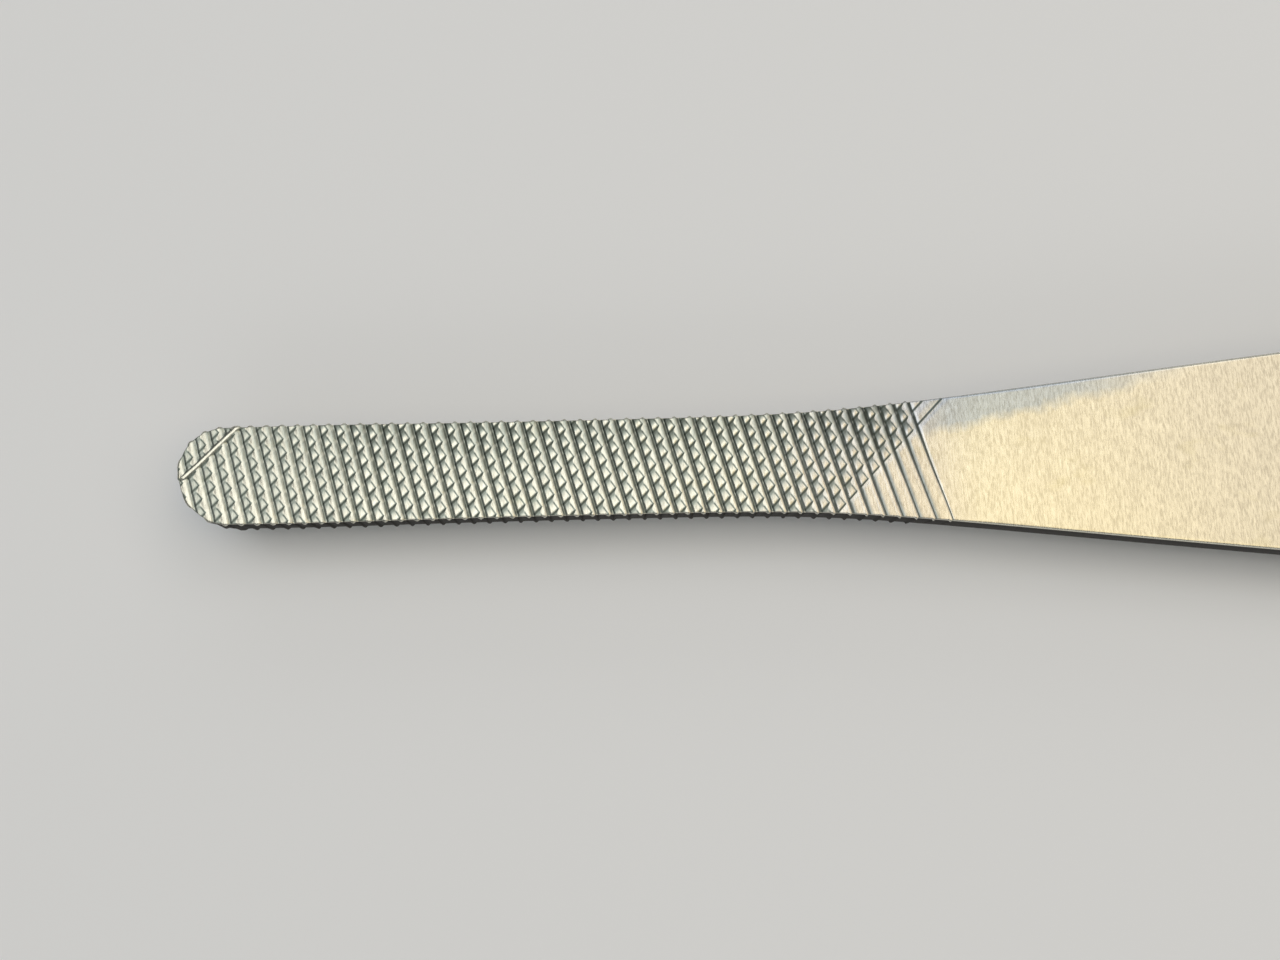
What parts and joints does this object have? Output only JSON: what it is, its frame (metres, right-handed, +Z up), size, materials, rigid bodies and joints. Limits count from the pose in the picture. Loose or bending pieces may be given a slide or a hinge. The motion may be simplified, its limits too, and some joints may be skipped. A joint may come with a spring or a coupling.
{
  "type": "flat file",
  "caption": "Small flat double-cut hand file with a rounded end, a flared shank, and wooden scales riveted to a full tang with a lanyard tube.",
  "frame": {"origin": "on the lower scale's flat outer face, under the middle of the tool's length and width", "axes": "+X from the file's tip to the butt, +Y across the blade, +Z up through the thickness"},
  "size_m": [0.148, 0.0136, 0.0063],
  "materials": {
    "file_steel": "cross-brushed, with cut teeth",
    "liner_fibre": "matt vulcanised fibre",
    "scale_wood": "oiled walnut",
    "rivet_brass": "satin, sanded flush",
    "tube_brass": "satin"
  },
  "bodies": {
    "root": {"file_blade": "file_steel", "lower_liner": "liner_fibre", "upper_liner": "liner_fibre", "lower_scale": "scale_wood", "upper_scale": "scale_wood", "lanyard_tube": "tube_brass", "front_rivet_barrel": "rivet_brass", "front_rivet_pin": "rivet_brass", "middle_rivet_barrel": "rivet_brass", "middle_rivet_pin": "rivet_brass", "rear_rivet_barrel": "rivet_brass", "rear_rivet_pin": "rivet_brass"}
  },
  "joints": []
}
